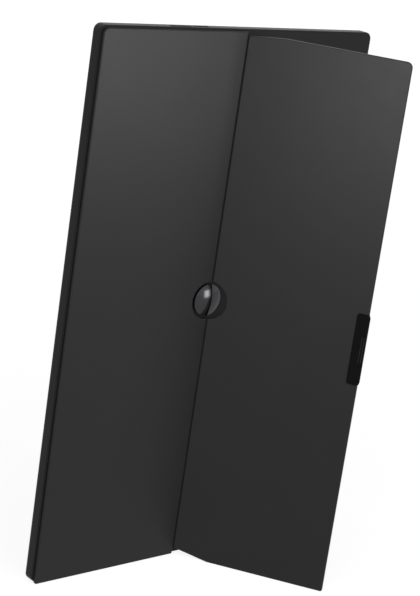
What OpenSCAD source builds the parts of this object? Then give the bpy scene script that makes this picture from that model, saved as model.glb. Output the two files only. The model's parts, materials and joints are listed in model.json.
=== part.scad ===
// Portable monitor that stands upright on its short edge, with half of its two-panel cover folded out as a leg.
// X runs to the right as seen from behind, Y towards the screen side and Z up.
// The origin is the middle of the monitor's bottom end face, on the table.

/* [Screen] */
// Long side of the lit area, upright here
screen_h = 344.2; // [300:0.1:400]
// Short side of the lit area
screen_w = 193.6; // [160:0.1:230]
// Bezel at each end of the lit area, beside its short sides
end_border = 19.1; // [18:0.1:26]
// Bezel along the long side that is the top in landscape use
top_border = 14.1; // [12:0.1:22]
// Bezel along the long side that is the bottom in landscape use
chin_border = 29.2; // [27:0.1:36]

/* [Housing] */
// Radius of the housing's corners
corner_r = 5; // [3:0.1:8]
// Thickness of the housing's back wall
back_wall = 1.2; // [1:0.05:2]
// Thickness of the housing's side walls
side_wall = 1.6; // [1.2:0.05:2]
// Radius of the rounded edge of the back
back_round = 1.1; // [0.5:0.05:1.2]
// Thickness of the bezel's face
lip_t = 1.6; // [1.2:0.05:2.4]
// Bevel round the bezel's outer edge
front_bevel = 0.5; // [0.2:0.05:1]
// How far the bezel's window stands back from the lit area
window_margin = 0.9; // [0.5:0.05:1.5]
// Depth of the bezel's inner skirt
skirt_depth = 2; // [1.4:0.05:2.6]
// Thickness of the bezel's inner skirt
skirt_t = 1; // [0.8:0.05:1.3]
// Width of one snap hook on the skirt
hook_w = 8; // [5:0.5:12]
// How far a snap hook reaches into the side wall
hook_reach = 0.45; // [0.3:0.05:0.6]
// Height of the stiffening ribs on the back wall
rib_h = 1; // [0.5:0.05:1.6]
// Width of the stiffening ribs
rib_w = 1.2; // [0.8:0.1:2]
// Spacing of the stiffening ribs
rib_pitch = 44; // [30:1:60]

/* [Panel] */
// Width of the glass beyond the lit area on three sides
glass_border = 5.2; // [4:0.1:6]
// Width of the rear glass beyond the lit area on the driver side
driver_ledge = 8.6; // [7.5:0.1:10]
// Thickness of one glass of the cell, with its polariser
glass_t = 0.65; // [0.5:0.01:0.8]
// Wall of the panel's frame
frame_wall = 1; // [0.8:0.05:1.2]
// Width of the frame's ledge under the glass
ledge_w = 3; // [2:0.1:4]
// Thickness of the frame's ledge
ledge_t = 0.4; // [0.3:0.05:0.6]
// Thickness of the reflector sheet
reflector_t = 0.2; // [0.15:0.01:0.3]
// Thickness of the light guide
guide_t = 0.6; // [0.4:0.05:0.8]
// Thickness of the film stack
films_t = 0.42; // [0.3:0.01:0.6]
// Width of the LED bar
led_bar_w = 4; // [3:0.1:5]
// Number of LEDs on the bar
led_count = 27; // [18:1:36]
// Width of the driver board
driver_w = 9.5; // [8:0.1:10.5]
// Length of the driver board
driver_l = 300; // [220:1:320]
// Thickness of the foam ring between the panel and the bezel
gasket_t = 0.35; // [0.25:0.01:0.5]
// Width of the foam ring
gasket_w = 3.2; // [2:0.1:3.8]

/* [Main board] */
// Gap that the bosses leave behind the main board
boss_h = 0.4; // [0.3:0.05:0.8]
// Thickness of the main board
board_t = 0.8; // [0.6:0.05:1]
// Room for the parts on the main board
parts_h = 1.1; // [1:0.05:1.6]
// Width of the main board
board_w = 62; // [58:0.5:80]
// Length of the main board
board_l = 84; // [70:0.5:120]
// Distance of the main board from the top-side edge of the housing
board_off = 37; // [30:0.5:40]
// Width of the shield can
can_w = 38; // [30:0.5:44]
// Length of the shield can
can_l = 32; // [24:0.5:40]
// Distance of the shield can from the board's side edge
can_off = 9; // [8:0.5:12]
// Distance of the shield can from the board's lower edge
can_up = 19; // [16:0.5:24]
// Wall of the shield can
can_wall = 0.15; // [0.1:0.01:0.2]
// Side of the graphics chip under the can
graphics_w = 14; // [10:0.5:17]
// Width of a memory chip
memory_w = 9; // [7:0.5:10]
// Length of a memory chip
memory_l = 11; // [8:0.5:12]
// Side of a power chip
power_w = 6; // [4:0.5:7]
// Side of a coil
coil_w = 7; // [5:0.5:8]
// Width of a small part
passive_w = 1.2; // [0.8:0.1:1.6]
// Length of a small part
passive_l = 2; // [1:0.1:2.5]
// Height of the chips
chip_h = 0.7; // [0.5:0.05:0.8]
// Gap between the parts on the board
part_gap = 1.8; // [1:0.1:2]
// Distance of the socket's middle from the top-side edge
socket_off = 82.5; // [79:0.1:90]
// Width of the socket's shell
socket_w = 12.4; // [12:0.1:13]
// Height of the socket's shell
socket_h = 2.9; // [2.6:0.1:3]
// Depth of the socket's shell
socket_d = 6; // [5:0.1:8]
// Distance of the power key's middle from the top-side edge
key_off = 66; // [63:0.1:67]
// Length of the power key
key_l = 17; // [12:0.1:18]
// Width of the power key
key_w = 2.4; // [1.8:0.1:2.8]
// How far the power key stands proud at rest
key_proud = 0.5; // [0.4:0.05:0.8]
// Travel of the power key
key_travel = 0.35; // [0.2:0.05:0.4]
// Clearance round the power key
key_gap = 0.15; // [0.1:0.01:0.25]
// Distance of the status window's middle from the top-side edge
lens_off = 49.5; // [46:0.1:51]
// Length of the status window
lens_l = 6; // [4:0.1:7]
// Width of the status window
lens_w = 1.6; // [1.2:0.1:2]

/* [Stud] */
// Height of the stud above the middle of the back
stud_up = 1.6; // [-4:0.1:4]
// Radius of the stud's head
stud_r = 11.4; // [9:0.1:12]
// Height of the straight rim of the stud's head
stud_rim = 1.5; // [1:0.1:2.5]
// Rise of the dome above the rim
stud_rise = 2.3; // [1:0.1:4]
// Radius of the stud's neck in the back wall
stud_neck_r = 4; // [3:0.1:5]
// Radius of the steel plate behind the stud
stud_plate_r = 15; // [12:0.5:20]
// Thickness of the steel plate behind the stud
stud_plate_t = 0.8; // [0.5:0.05:1]
// Radius of the stud screw's thread
stud_screw_r = 1.5; // [1.2:0.1:2]

/* [Cover] */
// Angle of the wing from flat on the back
wing_open = 56; // [30:1:85]
// Inset of the wing's free edge from the monitor's side when it is closed
wing_inset = 5.05; // [2:0.05:10]
// Distance of the crease from the monitor's middle, towards the wing
crease_x = 1.4; // [0:0.1:2]
// Half of the gap between the two panels at the crease
crease_gap = 0.3; // [0.25:0.01:0.5]
// Radius of the skin's roll in the crease
fold_r = 0.24; // [0.15:0.01:0.24]
// Inset of the cover from the monitor's free long edge
cover_inset = 1.5; // [0.5:0.1:4]
// Inset of the cover from the monitor's top end
cover_top_inset = 1.6; // [0.5:0.1:4]
// Radius of the cover's upper free corners
cover_r_top = 4; // [1:0.1:8]
// Radius of the cover's lower free corners
cover_r_low = 1.4; // [0.5:0.1:8]
// Radius of the hole that the crease cuts in two
hole_r = 13.6; // [12.6:0.1:16]
// Thickness of the cover's outer skin
skin_t = 0.4; // [0.3:0.01:0.6]
// Thickness of the skin where it wraps the edges
wrap_t = 0.35; // [0.25:0.01:0.5]
// Thickness of the cover's stiffener
stiff_t = 1.1; // [0.8:0.05:1.5]
// Thickness of the cover's lining
lining_t = 0.35; // [0.25:0.01:0.5]
// Thickness of the adhesive strips, and the wing's gap when it is closed
tape_t = 0.15; // [0.1:0.01:0.3]
// Length of the wing's relief cuts along its ends, from the crease
relief_l = 26; // [15:0.5:35]
// Height of the lower relief cut at the crease
relief_low = 4.8; // [2:0.1:8]
// Height of the upper relief cut at the crease
relief_top = 2.4; // [1:0.1:5]
// Radius of a wing magnet
magnet_r = 5; // [4:0.1:7]
// Thickness of a wing magnet
magnet_t = 0.9; // [0.5:0.05:1]
// Distance of the magnets from the wing's free edge
magnet_inset = 14; // [12:0.5:20]
// Distance of the end magnets from the wing's ends
magnet_end = 46; // [30:1:80]

/* [Edge grip] */
// Length of the grip along the wing's free edge
grip_l = 51; // [30:0.5:80]
// Width of the grip on the wing's outer face
grip_w = 8.2; // [6:0.1:12]
// Height of the grip's middle above the table
grip_z = 181.5; // [120:1:260]
// How far the grip stands proud of the outer face
grip_proud = 0.6; // [0.3:0.05:1]
// Thickness of the grip beyond the wing's edge
grip_edge = 1; // [0.6:0.05:2]
// Width of the grip's inner leg
grip_leg = 5; // [3:0.1:6]

/* [Hidden] */
$fn = 64;
fit = 0.1;
loose = 0.2;
tiny = 0.01;

monitor_h = screen_h + 2 * end_border;
monitor_w = screen_w + top_border + chin_border;
module_t = reflector_t + guide_t + films_t + ledge_t + 2 * glass_t + 0.13;
monitor_t = back_wall + boss_h + board_t + parts_h + module_t + gasket_t + lip_t;
back_y = -monitor_t / 2;
front_y = monitor_t / 2;
inner_y = back_y + back_wall;
board_y = inner_y + boss_h;
parts_y = board_y + board_t;
module_y = parts_y + parts_h;
module_end_y = module_y + module_t;
parting_y = front_y - lip_t;
side_x = monitor_w / 2;
cavity_w = monitor_w - 2 * side_wall;
cavity_h = monitor_h - 2 * side_wall;
cavity_r = corner_r - side_wall;

screen_x0 = -side_x + top_border;
screen_x1 = screen_x0 + screen_w;
screen_z0 = end_border;
screen_z1 = screen_z0 + screen_h;
glass_x0 = screen_x0 - glass_border;
glass_x1 = screen_x1 + driver_ledge;
glass_z0 = screen_z0 - glass_border;
glass_z1 = screen_z1 + glass_border;
front_glass_x1 = screen_x1 + glass_border;
frame_x0 = glass_x0 - fit - frame_wall;
frame_x1 = glass_x1 + fit + driver_w + fit + frame_wall;
frame_z0 = glass_z0 - fit - frame_wall;
frame_z1 = glass_z1 + fit + frame_wall;
guide_y = module_y + reflector_t;
films_y = guide_y + guide_t;
ledge_y = films_y + films_t + 0.05;
glass_y = ledge_y + ledge_t;
front_glass_y = glass_y + glass_t;
light_x1 = glass_x1 - led_bar_w;

board_x0 = -side_x + board_off;
board_z1 = monitor_h - side_wall - loose;
board_z0 = board_z1 - board_l;
can_x0 = board_x0 + can_off;
can_z0 = board_z0 + can_up;
socket_x = -side_x + socket_off;
key_x = -side_x + key_off;
lens_x = -side_x + lens_off;
key_y = parts_y + socket_h / 2;
wall_z = monitor_h - side_wall;
key_flange = 1.2;
key_inner = 0.9;
switch_d = 3.4;
switch_w = 6;
switch_h = 1.9;
plunger_w = 2.2;
plunger_h = 1;
screw_r = 0.8;
screw_head_r = 1.5;
screw_head_h = 0.5;
boss_r = 2.4;
boss_in = 4;

middle_z = monitor_h / 2;
stud_z = middle_z + stud_up;
stud_dome_r = (stud_r * stud_r + stud_rise * stud_rise) / (2 * stud_rise);
stud_head_r = 3.6;
stud_head_h = 0.8;

cover_t = skin_t + stiff_t + lining_t + tape_t;
cover_y = back_y - cover_t;
cover_h = monitor_h - cover_top_inset;
half_w = side_x + crease_x - cover_inset;
wing_w = side_x - crease_x - wing_inset;
lining_y = skin_t + stiff_t;
panel_y = lining_y + lining_t;
fold_hole = hole_r + 1;
magnet_zs = [magnet_end, middle_z, cover_h - magnet_end];
latch_size = 2 * magnet_r + 4;
latch_t = 0.5;
tape_w = 14;
tape_xs = [0.12, 0.5, 0.84];

cable_t = 0.25;
cable_w = 18;
cable_z = board_z0 + 24;
plug_w = 3.4;
cable_x0 = board_x0 + board_w - 1.5;

// An outline in X and Z, given thickness from y0 to y1
module slab(y0, y1) {
    translate([0, y1, 0])
        rotate([90, 0, 0])
            linear_extrude(y1 - y0)
                children();
}

// A rectangle from one corner to the other
module box_2d(x0, z0, x1, z1) {
    translate([x0, z0])
        square([x1 - x0, z1 - z0]);
}

// A rectangle with round corners, from one corner to the other
module round_2d(x0, z0, x1, z1, r, fn = $fn) {
    box_2d(x0 + r, z0, x1 - r, z1);
    box_2d(x0, z0 + r, x1, z1 - r);
    for (x = [x0 + r, x1 - r], z = [z0 + r, z1 - r])
        translate([x, z])
            circle(r, $fn = fn);
}

// The monitor's own outline, drawn in by a distance all round
module monitor_2d(inset, fn = $fn) {
    round_2d(-side_x + inset, inset, side_x - inset, monitor_h - inset, corner_r - inset, fn);
}

// A solid box from its lowest to its highest corner
module block(lo, hi) {
    translate(lo)
        cube(hi - lo);
}

// Rear shell

// Outer form of the shell, whose back edge is a quarter round in short flat steps
module shell_outer() {
    steps = 4;
    slab(back_y + back_round, parting_y)
        monitor_2d(0);
    for (k = [0:steps - 1])
        hull()
            for (angle = [k, k + 1] * 90 / steps)
                translate([0, back_y + back_round * (1 - sin(angle)), 0])
                    slab(0, tiny)
                        monitor_2d(back_round * (1 - cos(angle)), 32);
}

// Cut-outs of the end wall for the socket, the key and the status window
module end_cuts() {
    socket_half = socket_w / 2 + loose;
    block([socket_x - socket_half, parts_y - loose, wall_z - 1],
          [socket_x + socket_half, parts_y + socket_h + loose, monitor_h + 1]);
    key_half = key_l / 2 + key_gap;
    block([key_x - key_half, key_y - key_w / 2 - key_gap, wall_z - 1],
          [key_x + key_half, key_y + key_w / 2 + key_gap, monitor_h + 1]);
    translate([0, 0, wall_z - 1])
        lens_slot(fit / 2, side_wall + 2);
}

// Stadium of the status window, standing on Z zero
module lens_slot(grow, length) {
    r = lens_w / 2 + grow;
    linear_extrude(length)
        union() {
            translate([lens_x, key_y])
                square([lens_l - lens_w, 2 * r], center = true);
            for (side = [-1, 1])
                translate([lens_x + side * (lens_l - lens_w) / 2, key_y])
                    circle(r);
        }
}

// Rails that the panel's frame lies on, open where the board and the cable pass
module panel_rails() {
    difference() {
        slab(inner_y, module_y)
            difference() {
                box_2d(frame_x0, frame_z0, frame_x1, frame_z1);
                box_2d(frame_x0 + rib_w, frame_z0 + rib_w, frame_x1 - rib_w, frame_z1 - rib_w);
            }
        block([board_x0 - 1, inner_y - 1, board_z0 - 1], [board_x0 + board_w + 1, module_y + 1, monitor_h]);
        slab(inner_y - 1, module_y + 1)
            plate_room();
        block([screen_x1, inner_y + 0.5, cable_z - cable_w / 2 - 1], [side_x, module_y + 1, cable_z + cable_w / 2 + 1]);
    }
}

// Grid of low ribs on the back wall, clear of the board, the stud's plate and the latch plates
module back_ribs() {
    across = floor((frame_x1 - frame_x0) / rib_pitch / 2);
    along = floor((frame_z1 - frame_z0) / rib_pitch / 2);
    difference() {
        slab(inner_y, inner_y + rib_h)
            intersection() {
                box_2d(frame_x0, frame_z0, frame_x1, frame_z1);
                union() {
                    for (k = [-across:across])
                        box_2d(k * rib_pitch - rib_w / 2, 0, k * rib_pitch + rib_w / 2, monitor_h);
                    for (k = [-along:along])
                        translate([0, middle_z + k * rib_pitch])
                            square([monitor_w, rib_w], center = true);
                }
            }
        block([board_x0 - 1, inner_y - 1, board_z0 - 1], [board_x0 + board_w + 1, module_y, monitor_h]);
        slab(inner_y - 1, module_y)
            plate_room();
    }
}

// Room on the back wall round the stud's plate and the latch plates
module plate_room() {
    translate([0, stud_z])
        circle(stud_plate_r + 1);
    for (z = magnet_zs)
        translate([latch_x(), z])
            square(latch_size + 2, center = true);
}

// X of the magnets when the wing is closed
function latch_x() = crease_x + wing_w - magnet_inset;

// Snap hook places along a wall of a given length
function hook_places(length) =
    let (n = max(1, floor(length / 60)))
    [for (k = [0:n - 1]) (k + 0.5) * length / n];

// The snap hooks, or with some clearance the pockets that they enter
module hooks(grow) {
    y = parting_y - skirt_depth + 0.6;
    reach = hook_reach + grow;
    for (z = hook_places(monitor_h), side = [-1, 1])
        translate([side * (cavity_w / 2 - fit), y, z])
            scale([1, 1, hook_w + 2 * grow])
                hook_bar(reach + fit, side);
    for (x = hook_places(monitor_w))
        translate([x - side_x, y, side_wall + fit])
            rotate([0, 90, 0])
                scale([1, 1, hook_w + 2 * grow])
                    hook_bar(reach + fit, 1);
}

// One millimetre of a hook's half-round bar along Z, reaching out to one side
module hook_bar(reach, side) {
    translate([0, 0, -0.5])
        intersection() {
            cylinder(r = reach, h = 1, $fn = 24);
            translate([side * reach / 2, 0, 0.5])
                cube([reach, 2 * reach, 1], center = true);
        }
}

module rear_shell() {
    color([0.16, 0.16, 0.17])
        difference() {
            union() {
                difference() {
                    shell_outer();
                    slab(inner_y, parting_y + 1)
                        round_2d(-cavity_w / 2, side_wall, cavity_w / 2, wall_z, cavity_r);
                }
                panel_rails();
                back_ribs();
                board_bosses();
            }
            end_cuts();
            hooks(loose);
            translate([0, back_y - 1, stud_z])
                rotate([-90, 0, 0])
                    cylinder(r = stud_neck_r + fit, h = back_wall + 2);
            for (p = boss_places())
                translate([p[0], inner_y - 0.8, p[1]])
                    rotate([-90, 0, 0])
                        cylinder(r = screw_r - fit, h = 2);
        }
}

// Places of the main board's screws
function boss_places() = [
    for (x = [board_x0 + boss_in, board_x0 + board_w - boss_in], z = [board_z0 + boss_in, board_z1 - 16])
        [x, z]
];

// Bosses that the main board lies on
module board_bosses() {
    for (p = boss_places())
        translate([p[0], inner_y, p[1]])
            rotate([-90, 0, 0])
                cylinder(r = boss_r, h = boss_h);
}

// Front bezel

module front_bezel() {
    slope = 0.8;
    color([0.06, 0.06, 0.065])
        difference() {
            union() {
                slab(parting_y, front_y - front_bevel)
                    monitor_2d(0);
                hull() {
                    slab(front_y - front_bevel, front_y - front_bevel + tiny)
                        monitor_2d(0, 32);
                    slab(front_y - tiny, front_y)
                        monitor_2d(front_bevel, 32);
                }
                bezel_skirt();
                hooks(0);
            }
            hull() {
                slab(front_y, front_y + 1)
                    window_2d(window_margin + slope);
                slab(parting_y + 0.6, parting_y + 0.6 + tiny)
                    window_2d(window_margin);
            }
            slab(parting_y - 1, front_y)
                window_2d(window_margin);
        }
}

// The bezel's window, grown beyond the lit area by a distance
module window_2d(grow) {
    box_2d(screen_x0 - grow, screen_z0 - grow, screen_x1 + grow, screen_z1 + grow);
}

// The skirt inside the shell's side walls, open over the main board
module bezel_skirt() {
    gap = fit;
    difference() {
        slab(parting_y - skirt_depth, parting_y)
            difference() {
                round_2d(-cavity_w / 2 + gap, side_wall + gap, cavity_w / 2 - gap, wall_z - gap, cavity_r - gap);
                round_2d(-cavity_w / 2 + gap + skirt_t, side_wall + gap + skirt_t,
                         cavity_w / 2 - gap - skirt_t, wall_z - gap - skirt_t, cavity_r - gap - skirt_t);
            }
        block([board_x0 - 1, parting_y - skirt_depth - 1, board_z1 - 20],
              [board_x0 + board_w + 1, parting_y - tiny, monitor_h]);
    }
}

// Panel

module panel_gasket() {
    color([0.08, 0.08, 0.08])
        slab(module_end_y, parting_y)
            difference() {
                window_2d(window_margin + 0.3 + gasket_w);
                window_2d(window_margin + 0.3);
            }
}

module lcd_cell() {
    color([0.03, 0.03, 0.04]) {
        slab(glass_y, front_glass_y)
            box_2d(glass_x0, glass_z0, glass_x1, glass_z1);
        slab(front_glass_y, module_end_y)
            box_2d(glass_x0, glass_z0, front_glass_x1, glass_z1);
    }
}

module panel_frame() {
    color([0.85, 0.85, 0.83])
        difference() {
            slab(module_y, module_end_y)
                box_2d(frame_x0, frame_z0, frame_x1, frame_z1);
            slab(module_y - 1, ledge_y)
                light_2d(0);
            slab(ledge_y - 1, glass_y + 1)
                box_2d(screen_x0 - glass_border + ledge_w, screen_z0 - glass_border + ledge_w,
                       screen_x1 + glass_border - ledge_w, screen_z1 + glass_border - ledge_w);
            slab(glass_y, module_end_y + 1)
                box_2d(glass_x0 - fit, glass_z0 - fit, frame_x1 - frame_wall, glass_z1 + fit);
            block([frame_x1 - frame_wall - 1, front_glass_y - fit, cable_z - cable_w / 2 - loose],
                  [frame_x1 + 1, module_end_y + 1, cable_z + cable_w / 2 + loose]);
        }
}

// Pocket of the backlight in the frame, drawn in by a distance
module light_2d(inset) {
    box_2d(glass_x0 + inset, glass_z0 + inset, glass_x1 - inset, glass_z1 - inset);
}

module film_stack() {
    color([0.93, 0.94, 0.95])
        slab(films_y, films_y + films_t)
            box_2d(glass_x0 + loose, glass_z0 + loose, light_x1 - loose, glass_z1 - loose);
}

module light_guide() {
    color([0.85, 0.92, 0.95])
        slab(guide_y, films_y)
            box_2d(glass_x0 + loose, glass_z0 + loose, light_x1 - loose, glass_z1 - loose);
}

module reflector_sheet() {
    color([0.96, 0.96, 0.96])
        slab(module_y, guide_y)
            light_2d(fit);
}

module led_strip() {
    bar_t = 0.25;
    led_l = 3;
    pitch = (glass_z1 - glass_z0 - 12) / led_count;
    color([0.95, 0.9, 0.6]) {
        slab(guide_y, guide_y + bar_t)
            box_2d(light_x1, glass_z0 + 4, glass_x1 - fit, glass_z1 - 4);
        slab(guide_y + bar_t, films_y + films_t)
            for (k = [0:led_count - 1])
                translate([light_x1 + 0.8, glass_z0 + 6 + (k + 0.5) * pitch])
                    square([1.2, led_l], center = true);
    }
}

module driver_board() {
    color([0.1, 0.3, 0.18]) {
        slab(glass_y, front_glass_y)
            translate([glass_x1 + fit, middle_z - driver_l / 2])
                square([driver_w - 0.2, driver_l]);
        slab(front_glass_y, front_glass_y + 0.35)
            for (k = [-2:2])
                translate([glass_x1 + driver_w - 3.4, middle_z + k * 28])
                    square([2.4, 9], center = true);
    }
}

module driver_flex() {
    film_t = 0.1;
    count = 6;
    pitch = driver_l / count;
    color([0.75, 0.45, 0.15])
        slab(front_glass_y, front_glass_y + film_t)
            for (k = [0:count - 1])
                translate([front_glass_x1 + 0.4, middle_z - driver_l / 2 + (k + 0.25) * pitch])
                    square([glass_x1 - front_glass_x1 + 3, pitch / 2]);
}

module panel_cable() {
    y0 = module_y - cable_t - 0.02;
    y1 = front_glass_y + 0.02;
    x1 = frame_x1 + 0.6;
    color([0.2, 0.2, 0.22])
        translate([0, 0, cable_z - cable_w / 2])
            linear_extrude(cable_w)
                polygon([
                    [cable_x0, y0], [x1 + cable_t, y0], [x1 + cable_t, y1 + cable_t],
                    [glass_x1 + driver_w - 4, y1 + cable_t], [glass_x1 + driver_w - 4, y1],
                    [x1, y1], [x1, y0 + cable_t], [cable_x0, y0 + cable_t]
                ]);
}

// Main board

module main_board() {
    color([0.07, 0.27, 0.16])
        difference() {
            slab(board_y, parts_y)
                box_2d(board_x0, board_z0, board_x0 + board_w, board_z1);
            for (p = boss_places())
                translate([p[0], board_y - 1, p[1]])
                    rotate([-90, 0, 0])
                        cylinder(r = screw_r + fit, h = board_t + 2);
            block([key_x - key_l / 2 - key_flange - 0.5, board_y - 1, wall_z - key_inner - key_travel - 0.5],
                  [key_x + key_l / 2 + key_flange + 0.5, parts_y + 1, monitor_h]);
        }
}

// A part on the main board: its middle, its width and length, and its height
module board_part(x, z, w, l, h) {
    slab(parts_y, parts_y + h)
        translate([x, z])
            square([w, l], center = true);
}

module board_parts() {
    coil_h = parts_h - 0.15;
    mid_z = can_z0 + can_l / 2;
    memory_x = can_x0 + can_w - part_gap - memory_w / 2;
    above_z = can_z0 + can_l + part_gap;
    below_z = can_z0 - part_gap;
    right_x = can_x0 + 3 * (power_w + part_gap);
    color([0.05, 0.05, 0.055]) {
        board_part(can_x0 + part_gap + graphics_w / 2, mid_z, graphics_w, graphics_w, chip_h);
        for (side = [-1, 1])
            board_part(memory_x, mid_z + side * (memory_l + part_gap) / 2, memory_w, memory_l, chip_h);
        for (k = [0:2])
            board_part(can_x0 + k * (power_w + part_gap) + power_w / 2, above_z + power_w / 2,
                       power_w, power_w, chip_h);
        for (k = [0:2])
            board_part(can_x0 + k * (coil_w + part_gap) + coil_w / 2, below_z - coil_w / 2,
                       coil_w, coil_w, coil_h);
        for (k = [0:5], row = [0:1])
            board_part(right_x + (k + 0.5) * (passive_w + part_gap), above_z + (row + 0.5) * (passive_l + part_gap),
                       passive_w, passive_l, chip_h);
    }
    color([0.8, 0.78, 0.7])
        slab(parts_y, module_y - cable_t - 0.02)
            translate([cable_x0 - plug_w, cable_z - cable_w / 2 - 1])
                square([plug_w, cable_w + 2]);
}

module shield_can() {
    color([0.75, 0.75, 0.77])
        difference() {
            slab(parts_y, parts_y + parts_h - 0.12)
                box_2d(can_x0, can_z0, can_x0 + can_w, can_z0 + can_l);
            slab(parts_y - 1, parts_y + parts_h - 0.12 - can_wall)
                box_2d(can_x0 + can_wall, can_z0 + can_wall,
                       can_x0 + can_w - can_wall, can_z0 + can_l - can_wall);
        }
}

module board_screws() {
    color([0.7, 0.7, 0.72])
        for (p = boss_places())
            translate([p[0], 0, p[1]])
                rotate([-90, 0, 0]) {
                    translate([0, 0, parts_y])
                        cylinder(r = screw_head_r, h = screw_head_h);
                    translate([0, 0, inner_y - 0.7])
                        cylinder(r = screw_r - fit, h = parts_y - inner_y + 0.7 + tiny);
                }
}

module usb_socket() {
    wall = 0.3;
    mouth = socket_d - 1;
    color([0.78, 0.78, 0.8])
        translate([socket_x, 0, monitor_h - 0.4 - socket_d])
            difference() {
                slab(parts_y, parts_y + socket_h)
                    round_2d(-socket_w / 2, 0, socket_w / 2, socket_d, 0.2);
                translate([0, parts_y + socket_h / 2, socket_d - mouth])
                    linear_extrude(mouth + 1)
                        difference() {
                            square([socket_w - 2 * wall, socket_h - 2 * wall], center = true);
                            for (x = [-2.6, 4])
                                translate([x, 0])
                                    square([x < 0 ? 5.2 : 2.6, 0.6], center = true);
                            translate([1.5, 0])
                                square([0.5, socket_h], center = true);
                        }
            }
}

module switch_body() {
    z1 = key_under();
    color([0.6, 0.6, 0.62])
        difference() {
            slab(parts_y, parts_y + switch_h)
                translate([key_x - switch_w / 2, z1 - key_travel - 0.45 - switch_d])
                    square([switch_w, switch_d]);
            slab(plunger_y() - loose, plunger_y() + plunger_h + loose)
                translate([key_x - plunger_w / 2 - loose, z1 - key_travel - 0.45 - 2.2])
                    square([plunger_w + 2 * loose, 3]);
        }
}

// Underside of the power key at rest
function key_under() = wall_z - key_gap - key_inner;

// Back face of the switch's plunger
function plunger_y() = parts_y + (switch_h - plunger_h) / 2;

module switch_plunger() {
    z1 = key_under();
    color([0.1, 0.1, 0.1])
        slab(plunger_y(), plunger_y() + plunger_h)
            translate([key_x - plunger_w / 2, z1 - key_travel - 0.45 - 1.2])
                square([plunger_w, key_travel + 0.45 + 1.2]);
}

module power_key() {
    edge = 0.4;
    color([0.3, 0.3, 0.31]) {
        block([key_x - key_l / 2, key_y - key_w / 2, key_under()],
              [key_x + key_l / 2, key_y + key_w / 2, monitor_h + key_proud - edge]);
        block([key_x - key_l / 2 + edge, key_y - key_w / 2 + edge, monitor_h + key_proud - edge],
              [key_x + key_l / 2 - edge, key_y + key_w / 2 - edge, monitor_h + key_proud]);
        block([key_x - key_l / 2 - key_flange, key_y - key_w / 2, key_under()],
              [key_x + key_l / 2 + key_flange, key_y + key_w / 2, wall_z - key_gap]);
    }
}

module status_lens() {
    flange = 0.5;
    color([0.03, 0.03, 0.035]) {
        translate([0, 0, wall_z - fit])
            lens_slot(0, side_wall + fit - 0.1);
        translate([0, 0, wall_z - 0.7])
            lens_slot(flange, 0.7 - fit / 2);
        slab(parts_y, key_y)
            translate([lens_x - 1, wall_z - 4])
                square([2, 3.5]);
    }
}

// Stud

module stud() {
    color([0.8, 0.81, 0.83])
        translate([0, back_y, stud_z])
            rotate([90, 0, 0])
                difference() {
                    rotate_extrude($fn = 96)
                        difference() {
                            union() {
                                square([stud_r, stud_rim]);
                                intersection() {
                                    translate([0, stud_rim + stud_rise - stud_dome_r])
                                        circle(stud_dome_r, $fn = 256);
                                    square([stud_r, stud_rim + stud_rise + 1]);
                                }
                                translate([0, -back_wall])
                                    square([stud_neck_r, back_wall + 1]);
                            }
                            translate([stud_r - 0.5, stud_rim - 0.35])
                                square([1, 0.35]);
                        }
                    translate([0, 0, -back_wall - 1])
                        cylinder(r = stud_screw_r, h = back_wall + 1 + stud_rim);
                }
}

module stud_plate() {
    color([0.62, 0.62, 0.64])
        translate([0, inner_y, stud_z])
            rotate([-90, 0, 0])
                difference() {
                    cylinder(r = stud_plate_r, h = stud_plate_t);
                    translate([0, 0, -1])
                        cylinder(r = stud_screw_r + fit, h = stud_plate_t + 2);
                }
}

module stud_screw() {
    color([0.7, 0.7, 0.72])
        translate([0, inner_y + stud_plate_t, stud_z])
            rotate([-90, 0, 0]) {
                cylinder(r = stud_head_r, h = stud_head_h);
                translate([0, 0, -stud_plate_t - back_wall - stud_rim + 0.6])
                    cylinder(r = stud_screw_r - 0.03, h = stud_plate_t + back_wall + stud_rim);
            }
}

module latch_plates() {
    color([0.6, 0.6, 0.62])
        slab(inner_y, inner_y + latch_t)
            for (z = magnet_zs)
                translate([latch_x(), z])
                    square(latch_size, center = true);
}

// Cover

// Outline of a half-panel, drawn in by an inset all round: U runs from the crease to the free edge
module panel_2d(w, hole_u, inset) {
    low = inset;
    high = cover_h - inset;
    end = w - inset;
    r_top = max(cover_r_top - inset, 0.3);
    r_low = max(cover_r_low - inset, 0.3);
    r = max(r_top, r_low);
    difference() {
        union() {
            box_2d(crease_gap + inset, low, end - r, high);
            box_2d(end - r, low + r_low, end, high - r_top);
            box_2d(end - r - tiny, low, end - r_low, low + r_low + tiny);
            box_2d(end - r - tiny, high - r_top - tiny, end - r_top, high);
            translate([end - r_low, low + r_low])
                circle(r_low);
            translate([end - r_top, high - r_top])
                circle(r_top);
        }
        translate([hole_u, stud_z])
            circle(hole_r + inset, $fn = 128);
    }
}

// Outline of the back half-panel, drawn towards minus X from the crease
module back_2d(inset) {
    mirror([1, 0])
        panel_2d(half_w, crease_x, inset);
}

// Outline of the wing, with its relief cuts beside the crease
module wing_2d(inset) {
    reach = 6;
    difference() {
        panel_2d(wing_w, -crease_x, inset);
        translate([0, inset])
            relief_2d(relief_low, reach);
        translate([0, cover_h - inset])
            mirror([0, 1])
                relief_2d(relief_top, reach);
    }
}

// Sloping cut from the crease side down to the end, running on below it
module relief_2d(rise, reach) {
    polygon([
        [-reach, -reach], [relief_l * (1 + reach / rise), -reach], [0, rise], [-reach, rise * (1 + reach / relief_l)]
    ]);
}

// A layer of the cover's back half-panel, by its depth below the outer face
module back_layer(depth0, depth1, inset) {
    translate([crease_x, cover_y, 0])
        slab(depth0, depth1)
            back_2d(inset);
}

// Turns what it holds from the closed wing's place to the open one: X from the crease, Y from the outer face
module on_wing() {
    translate([crease_x, cover_y, 0])
        rotate([0, 0, -wing_open])
            children();
}

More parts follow.
